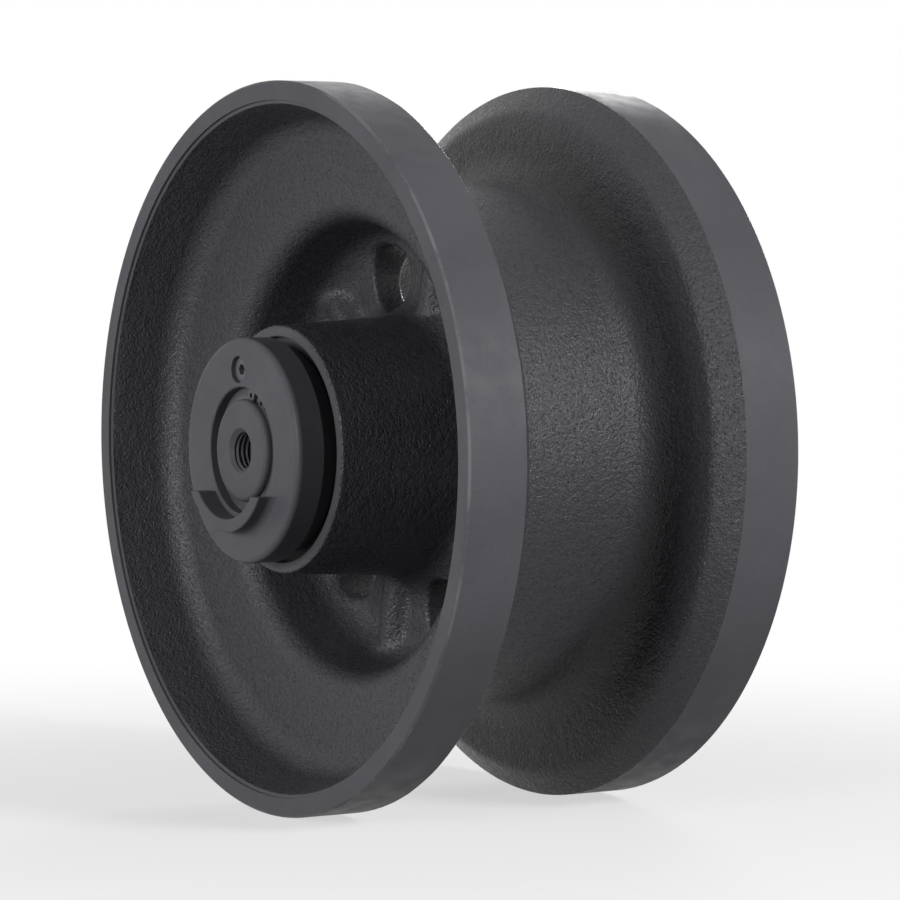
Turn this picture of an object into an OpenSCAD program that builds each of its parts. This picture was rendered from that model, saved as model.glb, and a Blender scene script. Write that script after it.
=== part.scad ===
// Twin-rim front idler: a cast wheel on two flanged bushes, turning on a fixed shaft.
// Each shaft end carries a collar, and a floating face seal closes the gap between collar and hub.
// The wheel axis is Y, the near end points to -Y, up is +Z, and the origin is the wheel's centre.

/* [Rims] */
// Outer diameter over the two rims
rim_d = 360; // [330:1:420]
// Width over the two rim faces
wheel_w = 187; // [170:1:210]
// Width of the ring turned on each rim face
face_ring = 9.5; // [6:0.5:14]
// Width of the small step turned just inside that ring
face_step = 1.7; // [1:0.1:4]
// Depth of that step
face_step_depth = 1.5; // [0.5:0.1:4]
// Chamfer on the outer corner of each rim
rim_chamfer = 1; // [0.5:0.1:3]

/* [Groove between the rims] */
// Width of the groove at the outer diameter
groove_w = 124; // [110:1:140]
// Diameter of the groove floor
floor_d = 261; // [245:1:285]
// Axial width of the cast bevel at the groove's edge
bevel_w = 10; // [5:0.5:15]
// Radial depth of that bevel
bevel_depth = 13; // [6:0.5:18]
// Lean of the groove flanks, in degrees
flank_lean = 9; // [3:0.5:15]
// Fillet between the groove floor and the flanks
floor_fillet = 22; // [8:1:26]
// Rounding of the crease between flank and bevel
crease_round = 12; // [4:1:20]

/* [Dish in each side] */
// Depth of the rim wall's foot below the rim face
foot_depth = 33; // [26:0.5:37]
// Radial distance from the rim's outside to that foot
foot_inset = 19.5; // [16:0.5:28]
// Blend at the foot of the rim wall
foot_fillet = 15; // [8:1:22]
// Depth of the inner well's lip below the rim face
lip_depth = 40.5; // [34:0.5:48]
// Rounding of that lip
lip_round = 13; // [5:1:16]
// Wall between the groove floor and the well, at the lip
drum_wall = 18; // [12:0.5:24]
// How much the well narrows from lip to web
well_draft = 4.5; // [1:0.5:8]
// Fillets at the bottom of the well
well_fillet = 18; // [8:1:19]

/* [Web] */
// Thickness of the web between hub and drum
web_t = 15; // [10:0.5:24]
// Number of core holes through the web
hole_count = 6; // [4:1:8]
// Diameter of the core holes
hole_d = 34; // [20:1:38]
// Angle of the first hole from +X, in degrees
hole_angle = 47; // [0:1:90]
// Height of the radial ribs above the web
rib_h = 9; // [4:0.5:14]
// Width of the ribs at the crest
rib_w = 11; // [6:0.5:16]
// Fillet along the foot of the ribs
rib_fillet = 6.5; // [3:0.5:9]
// Rounding along the crests of the ribs
rib_crest = 3; // [1:0.5:4]
// How much each flank of a rib spreads from its crest to its foot
rib_draft = 1; // [0.5:0.1:2]

/* [Hub] */
// How far each end of the hub lies inside the rim face
hub_inset = 4.5; // [2:0.5:10]
// How much the hub's radius grows from its end to the web
hub_taper = 5; // [1:0.5:8]
// Rounding of the hub's end corner
hub_edge = 1.2; // [0.4:0.1:3]
// Wall of the hub around its open mouth
mouth_wall = 5.4; // [4:0.1:9]
// Depth of the mouth
mouth_depth = 5; // [3:0.5:7]
// Radial gap between the mouth and the collar's skirt
mouth_gap = 5.3; // [2:0.1:8]

/* [Shaft and bushes] */
// Diameter of the shaft in the bushes
shaft_d = 55; // [50:1:62]
// Shoulder between that diameter and the shaft ends, on the radius
shaft_shoulder = 2.5; // [1.5:0.1:4]
// How far the shaft stands out of the collar's face
shaft_proud = 0.5; // [0:0.1:3]
// Rounding of the shaft's end corners
shaft_edge = 2.5; // [1:0.1:3]
// Wall of the bushes
bush_wall = 4.5; // [3:0.1:6]
// Length of each bush behind its flange
bush_len = 40; // [25:1:50]
// Thickness of the bush flanges
flange_t = 4; // [2:0.5:6]
// Width of the bush flanges beyond the bush bore
flange_w = 6.5; // [5.5:0.1:8]
// Running clearance between shaft and bushes, on the radius
running_gap = 0.05; // [0.02:0.01:0.1]
// End play between each collar and its bush flange
thrust_gap = 0.3; // [0.1:0.05:0.6]
// Clearance of fitted pieces that don't turn, on the radius
fit_gap = 0.02; // [0.01:0.01:0.05]
// Depth of the oil chamber between the bushes, below their seats
chamber_relief = 3; // [1:0.5:5]

/* [Tapped shaft ends] */
// Wall diameter of the tapped holes, M20 with its threads cut away
tap_d = 17.5; // [14:0.1:20]
// Depth of the tapped holes
tap_depth = 40; // [25:1:50]
// Diameter of the countersink at their mouths
tap_mouth_d = 22.2; // [21:0.1:26]
// Depth of that countersink
tap_mouth_depth = 2.6; // [1:0.1:4]

/* [Collars] */
// Gap between the hub's end and the collar
collar_gap = 6; // [3:0.5:8]
// Thickness of the collar's flange
collar_t = 15; // [13:0.5:20]
// How far the collar's rim lies inside the radius of the hub's mouth
collar_inset = 0.3; // [0:0.1:2]
// Rounding of the collar's front edge
collar_round = 2.8; // [1.5:0.1:5]
// Rounding of the collar's back edge
collar_back_round = 0.8; // [0.4:0.1:2]
// Wall of the boss that reaches in to the bush
boss_wall = 8; // [6:0.5:9]
// Wall of the skirt around the seal
skirt_wall = 4.4; // [3:0.1:6]
// Length of that skirt
skirt_len = 9; // [7:0.5:9.5]
// Radial room around the shaft end in the collar's face
recess_gap = 6; // [5.5:0.1:7]
// Depth of that recess
recess_depth = 5.2; // [4.5:0.1:7]
// Chamfer around the recess
recess_edge = 0.5; // [0.2:0.1:1.2]

/* [Locating lip] */
// Radial distance from the recess's chamfer to the lip
lip_land = 1.7; // [1:0.1:3]
// Wall of the lip
lip_wall = 6.5; // [4:0.1:8]
// How far the lip stands out of the collar's face
lip_height = 9.7; // [5:0.1:14]
// Level of the lip's two flat ends below the axis
lip_drop = 21; // [12:0.5:26]
// Fillet outside the foot of the lip
lip_fillet = 4.5; // [2:0.5:4.5]
// Rounding of the lip's front edges
lip_edge = 0.8; // [0.3:0.1:1.5]

/* [Oil plugs] */
// Diameter of the plug hole in the collar's face
plug_d = 13.2; // [10:0.1:14]
// Radial distance from the recess's chamfer to the plug's centre
plug_offset = 8; // [7.6:0.1:10]
// Angle of the plug from the collar's own +X, in degrees
plug_angle = 94.3; // [80:0.1:100]
// Length of the plug
plug_len = 10.5; // [8:0.5:11]
// How far the plug lies below the face
plug_sink = 2.1; // [0.3:0.1:3]
// Chamfer on the plug's outer edge
plug_edge = 0.5; // [0.2:0.1:1.2]
// Width across the flats of the plug's hex socket
plug_socket = 5; // [4:0.5:7]
// Depth of that socket
plug_socket_depth = 5.5; // [3:0.5:6]
// Diameter of the oil way behind the plug
oil_way_d = 4; // [2:0.5:5]

/* [Retaining rings] */
// Thickness of the retaining rings
clip_t = 2; // [1.5:0.1:2.5]
// Depth of the ring's groove in the shaft
clip_groove = 1.5; // [1:0.1:2]
// Width of the ring opposite its gap
clip_w = 5; // [3.5:0.1:5.2]
// How much narrower the ring is beside its gap
clip_narrow = 1.6; // [0.5:0.1:2]
// Reach of the ring's two lugs beyond its bore
clip_lug = 6.4; // [5.4:0.1:6.8]
// Width of each lug
clip_lug_w = 6; // [5:0.1:8]
// Gap between the two lugs
clip_gap = 4.5; // [2:0.1:8]
// Diameter of the eye in each lug
clip_eye_d = 2.5; // [1.5:0.1:3]
// Angle of the ring's gap from the collar's own +X, in degrees
clip_angle = 70; // [0:1:360]

/* [Floating seals] */
// Axial room for each seal ring, from the sealing faces to its seat's floor
seal_room = 12.5; // [11.5:0.1:13]
// Length of each seal ring
seal_len = 11; // [9:0.5:11]
// Gap between the collar's boss and the seal rings
boss_gap = 3; // [2:0.1:5]
// Wall of the seal rings where the rubber ring sits
seal_wall = 2.8; // [2:0.1:4]
// Thickness of the seal rings' face flange
seal_flange_t = 3.5; // [2.5:0.1:3.8]
// Gap drawn between the two sealing faces
seal_face_gap = 0.1; // [0.02:0.02:0.3]
// Section of the rubber toric rings as squeezed between their ramps
toric_d = 6.6; // [5:0.1:7]
// Distance from a seal ring's face flange to its rubber ring
toric_clear = 0.4; // [0.2:0.1:0.6]
// Angle of the ramps that hold the rubber rings, in degrees
ramp_angle = 7; // [3:0.5:12]
// Clearance between a rubber ring and its ramps
rubber_gap = 0.08; // [0.02:0.02:0.2]
// Section of the O-rings between shaft and collar as squeezed
oring_d = 2.6; // [2:0.1:3.5]

/* [Hidden] */
$fn = 96;

// Colours of the painted casting, the machined steel, the bush metal and the rubber
cast_grey = [0.24, 0.24, 0.25];
machined_grey = [0.34, 0.34, 0.35];
bush_bronze = [0.62, 0.48, 0.28];
rubber_black = [0.08, 0.08, 0.08];

// Shaft, bush and collar radii, from the shaft outwards
journal_r = shaft_d / 2;
end_r = journal_r - shaft_shoulder;
bush_r = journal_r + bush_wall;
flange_r = journal_r + flange_w;
boss_r = end_r + boss_wall;
recess_r = end_r + recess_gap;
opening_r = recess_r + recess_edge;

// Seal radii, measured in the plane of the rubber rings
toric_room = (toric_d / 2 + rubber_gap) / cos(ramp_angle);
seal_bore_r = boss_r + boss_gap;
seal_ramp_r = seal_bore_r + seal_wall;
toric_r = seal_ramp_r + toric_room;
seat_r = toric_r + toric_room;
toric_pos = seal_flange_t + toric_d / 2 + toric_clear;

// Skirt, mouth and hub radii, from the seal outwards
skirt_r = seat_r + skirt_wall;
mouth_r = skirt_r + mouth_gap;
hub_r = mouth_r + mouth_wall;
collar_r = mouth_r - collar_inset;

// Distances from the wheel's middle along the axis
rim_face = wheel_w / 2;
hub_end = rim_face - hub_inset;
collar_back = hub_end + collar_gap;
collar_face = collar_back + collar_t;
seal_plane = collar_back - seal_room;
seat_floor = seal_plane - seal_room;
boss_end = seat_floor + thrust_gap;
recess_floor = collar_face - recess_depth;
shaft_end = collar_face + shaft_proud;
bush_seat = seat_floor - flange_t;
bush_end = bush_seat - bush_len;
oring_pos = (boss_end + recess_floor) / 2;

// Wheel radii
rim_r = rim_d / 2;
floor_r = floor_d / 2;
lip_r = floor_r - drum_wall;
well_r = lip_r - well_draft;
root_r = hub_r + hub_taper;
well_round = min(well_fillet, (well_r - root_r) * 0.47);
hole_pitch_r = (well_r + root_r) / 2;
flank_top = groove_w / 2 - bevel_w;
crease_r = rim_r - bevel_depth;
flank_foot = flank_top - (crease_r - floor_r) * tan(flank_lean);

// Overlap of joined or cut shapes, so that no two faces coincide
eps = 1;

// Outlines with true arcs. A corner is [x, y, rounding], in anticlockwise order.
function unit(v) = v / norm(v);
function spot(c) = [c[0], c[1]];
function arm(c, i, step) = unit(spot(c[(i + step + len(c)) % len(c)]) - spot(c[i]));
function half_angle(c, i) = acos(arm(c, i, -1) * arm(c, i, 1)) / 2;
function tangent(c, i, step) = spot(c[i]) + arm(c, i, step) * c[i][2] / tan(half_angle(c, i));
function arc_centre(c, i) =
    spot(c[i]) + unit(arm(c, i, -1) + arm(c, i, 1)) * c[i][2] / sin(half_angle(c, i));
function inward(c, i) = cross(arm(c, i, -1), arm(c, i, 1)) > 0;
function chords(c) = [
    for (i = [0 : len(c) - 1])
        each (c[i][2] > 0 ? [tangent(c, i, -1), tangent(c, i, 1)] : [spot(c[i])])
];

module corner_arc(c, i) {
    intersection() {
        translate(arc_centre(c, i)) circle(c[i][2]);
        polygon([tangent(c, i, -1), spot(c[i]), tangent(c, i, 1)]);
    }
}

module rounded_outline(c) {
    rounded = [for (i = [0 : len(c) - 1]) if (c[i][2] > 0) i];
    difference() {
        union() {
            polygon(chords(c));
            for (i = rounded) if (!inward(c, i)) corner_arc(c, i);
        }
        for (i = rounded) if (inward(c, i)) corner_arc(c, i);
    }
}

// Turns a piece that is drawn along +Z, with +Y up, to the near or the far end of the shaft
module near_end() {
    rotate([90, 0, 0]) children();
}

module far_end() {
    rotate([0, 0, 180]) near_end() children();
}

// Radius of the ramp that holds a rubber ring, at a distance from the sealing faces
function ramp(r, distance) = r - (distance - toric_pos) * tan(ramp_angle);

// The cast wheel

// Half of the wheel's section, from the middle of the groove floor round to the bore
wheel_half = [
    [floor_r, flank_foot, floor_fillet],
    [crease_r, flank_top, crease_round],
    [rim_r, groove_w / 2, 0],
    [rim_r, rim_face - rim_chamfer, 0],
    [rim_r - rim_chamfer, rim_face, 0],
    [rim_r - face_ring, rim_face, 0],
    [rim_r - face_ring, rim_face - face_step_depth, 0],
    [rim_r - face_ring - face_step, rim_face - face_step_depth, 0],
    [rim_r - foot_inset, rim_face - foot_depth, foot_fillet],
    [lip_r, rim_face - lip_depth, lip_round],
    [well_r, web_t / 2, well_round],
    [root_r, web_t / 2, well_round],
    [hub_r, hub_end, hub_edge],
    [mouth_r, hub_end, 0],
    [mouth_r, hub_end - mouth_depth, 0],
    [ramp(seat_r, seal_plane - hub_end + mouth_depth), hub_end - mouth_depth, 0],
    [ramp(seat_r, seal_room), seat_floor, 0],
    [flange_r + fit_gap, seat_floor, 0],
    [flange_r + fit_gap, bush_seat, 0],
    [bush_r, bush_seat, 0],
    [bush_r, bush_end, 0],
    [bush_r + chamber_relief, bush_end - chamber_relief, 0]
];
function mirrored(half) = [
    for (i = [len(half) - 1 : -1 : 0]) [half[i][0], -half[i][1], half[i][2]]
];

// Section across one rib and the web that it stands on
module rib_section() {
    crest_w = rib_w / 2;
    foot_w = crest_w + rib_draft;
    end_w = foot_w + rib_fillet * 1.5;
    top = web_t / 2 + rib_h;
    deck = web_t / 2 - eps;
    foot_round = min(rib_fillet, rib_h * 0.75);
    crest_round = min(rib_crest, rib_h * 0.35, crest_w * 0.8);
    rounded_outline([
        [-end_w, -deck, 0],
        [-foot_w, -deck, foot_round],
        [-crest_w, -top, crest_round],
        [crest_w, -top, crest_round],
        [foot_w, -deck, foot_round],
        [end_w, -deck, 0],
        [end_w, deck, 0],
        [foot_w, deck, foot_round],
        [crest_w, top, crest_round],
        [-crest_w, top, crest_round],
        [-foot_w, deck, foot_round],
        [-end_w, deck, 0]
    ]);
}

module ribs() {
    pitch = 360 / hole_count;
    for (k = [0 : hole_count - 1])
        rotate([0, 0, hole_angle + (k + 0.5) * pitch])
            translate([root_r - hub_taper, 0, 0])
                rotate([90, 0, 90])
                    linear_extrude(well_r - root_r + hub_taper * 2) rib_section();
}

module core_holes() {
    for (k = [0 : hole_count - 1])
        rotate([0, 0, hole_angle + k * 360 / hole_count])
            translate([hole_pitch_r, 0, 0])
                cylinder(d = hole_d, h = web_t + well_round * 2, center = true);
}

module idler_wheel() {
    color(cast_grey) near_end() difference() {
        union() {
            rotate_extrude() rounded_outline(concat(wheel_half, mirrored(wheel_half)));
            ribs();
        }
        core_holes();
    }
}

// Flanged bushes, pressed into the hub

module bush() {
    color(bush_bronze) rotate_extrude() polygon([
        [journal_r + running_gap, bush_end],
        [bush_r - fit_gap, bush_end],
        [bush_r - fit_gap, bush_seat],
        [flange_r, bush_seat],
        [flange_r, seat_floor],
        [journal_r + running_gap, seat_floor]
    ]);
}

module near_bush() {
    near_end() bush();
}

module far_bush() {
    far_end() bush();
}

// The fixed shaft

// Half of the shaft's section, from its middle out to the end
oring_groove_r = end_r - oring_d - fit_gap * 2;
oring_groove_w = oring_d * 1.3;
clip_r = end_r - clip_groove;
shaft_half = [
    [journal_r, boss_end, 0],
    [end_r, boss_end, 0],
    [end_r, oring_pos - oring_groove_w / 2, 0],
    [oring_groove_r, oring_pos - oring_groove_w / 2, 0],
    [oring_groove_r, oring_pos + oring_groove_w / 2, 0],
    [end_r, oring_pos + oring_groove_w / 2, 0],
    [end_r, recess_floor, 0],
    [clip_r, recess_floor, 0],
    [clip_r, recess_floor + clip_t + fit_gap * 2, 0],
    [end_r, recess_floor + clip_t + fit_gap * 2, 0],
    [end_r, shaft_end, shaft_edge],
    [0, shaft_end, 0]
];

module tapped_hole() {
    translate([0, 0, shaft_end - tap_depth]) cylinder(d = tap_d, h = tap_depth + eps);
    translate([0, 0, shaft_end - tap_mouth_depth])
        cylinder(d1 = tap_d, d2 = tap_mouth_d, h = tap_mouth_depth);
}

module shaft() {
    color(machined_grey) difference() {
        near_end() rotate_extrude() rounded_outline(concat(shaft_half, mirrored(shaft_half)));
        near_end() tapped_hole();
        far_end() tapped_hole();
    }
}

// Collars, each with a locating lip and an oil plug hole

lip_r1 = opening_r + lip_land;
lip_r2 = lip_r1 + lip_wall;
plug_pos = (opening_r + plug_offset) * [cos(plug_angle), sin(plug_angle)];
plug_floor = collar_face - plug_sink - plug_len;

module collar_body() {
    rotate_extrude() rounded_outline([
        [end_r + fit_gap, boss_end, 0],
        [boss_r, boss_end, 0],
        [boss_r, collar_back, 0],
        [ramp(seat_r, seal_room), collar_back, 0],
        [ramp(seat_r, seal_room - skirt_len), collar_back - skirt_len, 0],
        [skirt_r, collar_back - skirt_len, 0],
        [skirt_r, collar_back, 0],
        [collar_r, collar_back, collar_back_round],
        [collar_r, collar_face, collar_round],
        [opening_r, collar_face, 0],
        [recess_r, collar_face - recess_edge, 0],
        [recess_r, recess_floor, 0],
        [end_r + fit_gap, recess_floor, 0]
    ]);
}

module locating_lip() {
    foot_r = lip_r2 + lip_fillet * 1.05;
    front = collar_face + lip_height;
    intersection() {
        rotate_extrude() rounded_outline([
            [lip_r1, collar_face - eps, 0],
            [foot_r, collar_face - eps, 0],
            [foot_r, collar_face, 0],
            [lip_r2, collar_face, lip_fillet],
            [lip_r2, front, lip_edge],
            [lip_r1, front, lip_edge]
        ]);
        translate([-foot_r - eps, -foot_r - eps, collar_face - eps * 2])
            cube([foot_r * 2 + eps * 2, foot_r + eps - lip_drop, lip_height + eps * 4]);
    }
}

module collar() {
    color(machined_grey) difference() {
        union() {
            collar_body();
            locating_lip();
        }
        translate([plug_pos[0], plug_pos[1], plug_floor]) cylinder(d = plug_d, h = collar_t);
        translate([plug_pos[0], plug_pos[1], collar_back - eps]) cylinder(d = oil_way_d, h = collar_t);
    }
}

module near_collar() {
    near_end() collar();
}

module far_collar() {
    far_end() collar();
}

// Oil plugs with a hex socket

module oil_plug() {
    plug_r = plug_d / 2 - fit_gap;
    color(machined_grey) translate([plug_pos[0], plug_pos[1], plug_floor]) difference() {
        rotate_extrude() polygon([
            [0, 0],
            [plug_r, 0],
            [plug_r, plug_len - plug_edge],
            [plug_r - plug_edge, plug_len],
            [0, plug_len]
        ]);
        translate([0, 0, plug_len - plug_socket_depth])
            cylinder(d = plug_socket / cos(30), h = plug_socket_depth + eps, $fn = 6);
    }
}

module near_oil_plug() {
    near_end() oil_plug();
}

module far_oil_plug() {
    far_end() oil_plug();
}

// Retaining rings, each with a gap between two lugs, and an eye in each lug for the pliers

module retaining_ring() {
    bore_r = clip_r + fit_gap;
    lug_r = bore_r + clip_lug;
    lugs_w = clip_gap + clip_lug_w * 2;
    eye_pos = [bore_r + clip_lug / 2, clip_gap / 2 + clip_lug_w / 2];
    color(machined_grey) translate([0, 0, recess_floor]) rotate([0, 0, clip_angle])
        linear_extrude(clip_t) difference() {
            union() {
                translate([-clip_narrow / 2, 0]) circle(bore_r + clip_w - clip_narrow / 2);
                intersection() {
                    circle(lug_r);
                    translate([0, -lugs_w / 2]) square([lug_r, lugs_w]);
                }
            }
            circle(bore_r);
            translate([0, -clip_gap / 2]) square([lug_r + eps, clip_gap]);
            for (side = [-1, 1])
                translate([eye_pos[0], eye_pos[1] * side]) circle(d = clip_eye_d);
        }
}

module near_retaining_ring() {
    near_end() retaining_ring();
}

module far_retaining_ring() {
    far_end() retaining_ring();
}

// Rubber rings

module rubber_ring(middle_r, section_d, distance) {
    color(rubber_black) translate([0, 0, distance])
        rotate_extrude() translate([middle_r, 0]) circle(d = section_d);
}

module shaft_o_ring() {
    rubber_ring(oring_groove_r + fit_gap + oring_d / 2, oring_d, oring_pos);
}

module near_shaft_o_ring() {
    near_end() shaft_o_ring();
}

module far_shaft_o_ring() {
    far_end() shaft_o_ring();
}

module near_collar_toric_ring() {
    near_end() rubber_ring(toric_r, toric_d, seal_plane + toric_pos);
}

module far_collar_toric_ring() {
    far_end() rubber_ring(toric_r, toric_d, seal_plane + toric_pos);
}

module near_wheel_toric_ring() {
    near_end() rubber_ring(toric_r, toric_d, seal_plane - toric_pos);
}

module far_wheel_toric_ring() {
    far_end() rubber_ring(toric_r, toric_d, seal_plane - toric_pos);
}

// Seal rings, drawn from the sealing face upwards and laid face to face

module seal_ring() {
    flange_top = seal_face_gap / 2 + seal_flange_t;
    color(machined_grey) rotate_extrude() polygon([
        [seal_bore_r, seal_face_gap / 2],
        [toric_r + toric_d / 4, seal_face_gap / 2],
        [toric_r + toric_d / 4, flange_top],
        [ramp(seal_ramp_r, flange_top), flange_top],
        [ramp(seal_ramp_r, seal_len), seal_len],
        [seal_bore_r, seal_len]
    ]);
}

module collar_seal_ring() {
    translate([0, 0, seal_plane]) seal_ring();
}

module wheel_seal_ring() {
    translate([0, 0, seal_plane]) rotate([180, 0, 0]) seal_ring();
}

module near_collar_seal_ring() {
    near_end() collar_seal_ring();
}

module far_collar_seal_ring() {
    far_end() collar_seal_ring();
}

module near_wheel_seal_ring() {
    near_end() wheel_seal_ring();
}

module far_wheel_seal_ring() {
    far_end() wheel_seal_ring();
}

idler_wheel();
near_bush();
far_bush();
shaft();
near_collar();
far_collar();
near_oil_plug();
far_oil_plug();
near_retaining_ring();
far_retaining_ring();
near_shaft_o_ring();
far_shaft_o_ring();
near_collar_seal_ring();
far_collar_seal_ring();
near_collar_toric_ring();
far_collar_toric_ring();
near_wheel_seal_ring();
far_wheel_seal_ring();
near_wheel_toric_ring();
far_wheel_toric_ring();
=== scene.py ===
import math

import bmesh
import bpy
import numpy as np
from bpy.props import FloatProperty, FloatVectorProperty, IntProperty, PointerProperty
from bpy.types import Operator, Panel, PropertyGroup
from mathutils import Matrix, Vector, noise


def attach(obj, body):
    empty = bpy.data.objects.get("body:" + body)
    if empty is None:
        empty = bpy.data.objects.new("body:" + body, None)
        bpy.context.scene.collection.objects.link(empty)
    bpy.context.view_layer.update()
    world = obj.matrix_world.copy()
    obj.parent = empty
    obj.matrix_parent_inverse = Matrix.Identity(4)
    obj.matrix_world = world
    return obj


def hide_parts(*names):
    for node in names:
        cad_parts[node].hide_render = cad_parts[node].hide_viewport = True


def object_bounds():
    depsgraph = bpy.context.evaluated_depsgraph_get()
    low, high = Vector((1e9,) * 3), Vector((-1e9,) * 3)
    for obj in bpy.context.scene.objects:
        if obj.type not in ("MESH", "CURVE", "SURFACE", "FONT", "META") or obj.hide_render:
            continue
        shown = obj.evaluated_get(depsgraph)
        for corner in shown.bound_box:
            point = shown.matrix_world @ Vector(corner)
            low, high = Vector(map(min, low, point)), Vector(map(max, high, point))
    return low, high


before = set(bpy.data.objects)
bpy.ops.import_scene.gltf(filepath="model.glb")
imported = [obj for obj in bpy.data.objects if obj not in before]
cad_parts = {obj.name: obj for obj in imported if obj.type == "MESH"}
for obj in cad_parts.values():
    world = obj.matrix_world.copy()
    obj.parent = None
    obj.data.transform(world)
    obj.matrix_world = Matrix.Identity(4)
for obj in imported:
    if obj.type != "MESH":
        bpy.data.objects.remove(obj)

bl_info = {
    "name": "Twin-Rim Track Idler",
    "version": (1, 0, 0),
    "blender": (4, 5, 0),
    "location": "View3D > Sidebar > Idler",
    "description": "Builds the finished look of a cast track idler around its solids",
    "category": "Add Mesh",
}

CAD_BOX = [list(corner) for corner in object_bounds()]
MM = 0.001
CAST, TURNED = 0, 1

# Roundings of the edges
TURNED_EDGE = 0.3 * MM
GROOVE_EDGE = 0.5 * MM
STEP_EDGE = 0.25 * MM
STEP_INNER_EDGE = 0.4 * MM
HUB_EDGE = 1.2 * MM
MOUTH_EDGE = 0.6 * MM
RING_GROOVE_EDGE = 0.2 * MM

# How finely the meshes are divided
ARC_STEP = math.radians(8.5)
SMALL_ROUNDING = 0.6 * MM
FLAT_STRIP = 0.4 * MM
SHORT_STRAIGHT = 1.2 * MM
WHEEL_STEPS = {CAST: 6.5 * MM, TURNED: 60 * MM}
TROUGH_STEPS = {CAST: 3 * MM}
SHAFT_STEPS = {TURNED: 30 * MM}
SECTOR_COLUMNS = 30
SECTOR_SIDE = 24
HOLE_LAYERS = (0, 0.35, 0.8, 1.4, 2.1, 3.0)
HOLE_LAYERS_FOR = 2.6
WEB_LAYERS = 12
HOLE_WALL_ROWS = 7
SHAFT_COLUMNS = 96
THREAD_ROWS = 155

# Blends of the casting that the sizes below do not set
WEB_CUT = 4.5 * MM
RIB_SINK = 1 * MM
RIB_BLEND = 5 * MM
SLOW_WAVES, QUICK_WAVES, QUICK_SHARE = 45.0, 110.0, 0.6


# Sizes and colours that a user would change

def length(name, description, default_mm):
    return FloatProperty(name=name, description=description, default=default_mm * MM,
                         min=0.0, precision=5, subtype="DISTANCE", unit="LENGTH")


def angle(name, description, default_deg):
    return FloatProperty(name=name, description=description, default=math.radians(default_deg),
                         subtype="ANGLE", unit="ROTATION")


def number(name, description, default):
    return FloatProperty(name=name, description=description, default=default, min=0.0, precision=4)


def colour(name, description, default):
    return FloatVectorProperty(name=name, description=description, default=default,
                               size=3, min=0.0, max=1.0, subtype="COLOR")


class IdlerWheelSizes(PropertyGroup):
    """Sizes of the cast wheel"""
    rim_d: length("Rim diameter", "Outer diameter over the two rims", 360)
    wheel_w: length("Wheel width", "Width over the two rim faces", 187)
    face_ring: length("Face ring", "Width of the ring turned on each rim face", 9.5)
    face_step: length("Face step", "Width of the small step inside that ring", 1.7)
    face_step_depth: length("Step depth", "Depth of that step", 1.5)
    rim_chamfer: length("Rim chamfer", "Chamfer on the outer corner of each rim", 1.0)
    groove_w: length("Groove width", "Width of the groove at the outer diameter", 124)
    floor_d: length("Floor diameter", "Diameter of the groove floor", 261)
    bevel_w: length("Bevel width", "Axial width of the cast bevel", 10)
    bevel_depth: length("Bevel depth", "Radial depth of the cast bevel", 13)
    flank_lean: angle("Flank lean", "Lean of the groove flanks", 9)
    floor_fillet: length("Floor fillet", "Fillet between groove floor and flanks", 22)
    crease_round: length("Crease rounding", "Rounding between flank and bevel", 12)
    foot_depth: length("Foot depth", "Depth of the rim wall's foot", 33)
    foot_inset: length("Foot inset", "Distance from the rim to that foot", 19.5)
    foot_fillet: length("Foot fillet", "Blend at the foot of the rim wall", 15)
    lip_depth: length("Lip depth", "Depth of the well's lip", 40.5)
    lip_round: length("Lip rounding", "Rounding of the well's lip", 13)
    drum_wall: length("Drum wall", "Wall between groove floor and well", 18)
    well_draft: length("Well draft", "How much the well narrows to the web", 4.5)
    well_fillet: length("Well fillet", "Fillets at the bottom of the well", 18)
    web_t: length("Web thickness", "Thickness of the web", 15)
    hole_count: IntProperty(name="Core holes", description="Number of core holes in the web",
                            default=6, min=3, max=12)
    hole_d: length("Hole diameter", "Diameter of the core holes", 34)
    hole_angle: angle("First hole", "Angle of the first core hole from +X", 47)
    hole_round: length("Hole rounding", "Rounding of the core holes' edges", 2.6)
    rib_h: length("Rib height", "Height of the ribs above the web", 9)
    rib_w: length("Rib width", "Width of a rib halfway up", 15.5)
    rib_run: length("Rib flank", "Run of a rib's flank from crest to foot", 9)
    hub_w: length("Hub length", "Length of the hub", 178)
    hub_r: length("Hub radius", "Radius of the hub at its end", 60.698)
    hub_taper: length("Hub taper", "Growth of the hub's radius to the web", 5)
    mouth_r: length("Mouth radius", "Radius of the hub's open mouth", 55.298)
    mouth_depth: length("Mouth depth", "Depth of the hub's open mouth", 5)
    cone_mouth_r: length("Cone mouth", "Radius of the seal's cone at its mouth", 46.1)
    cone_floor_r: length("Cone floor radius", "Radius of the seal's cone at its floor", 45)
    cone_floor: length("Cone floor", "Distance from the middle to that floor", 70)
    flange_r: length("Flange seat radius", "Radius of the seat of a bush's flange", 34.02)
    flange_floor: length("Flange seat", "Distance from the middle to that seat", 66)
    bush_r: length("Bush bore radius", "Radius of the bore that holds a bush", 32)
    bush_end: length("Bush bore end", "Distance from the middle to that bore's inner end", 26)
    relief_r: length("Relief radius", "Radius of the bore between the bushes", 35)
    relief_end: length("Relief end", "Distance from the middle to the relief's full width", 23)
    cast_wave: length("Cast unevenness", "Height of the slow waves in the cast skin", 0.16)


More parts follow.
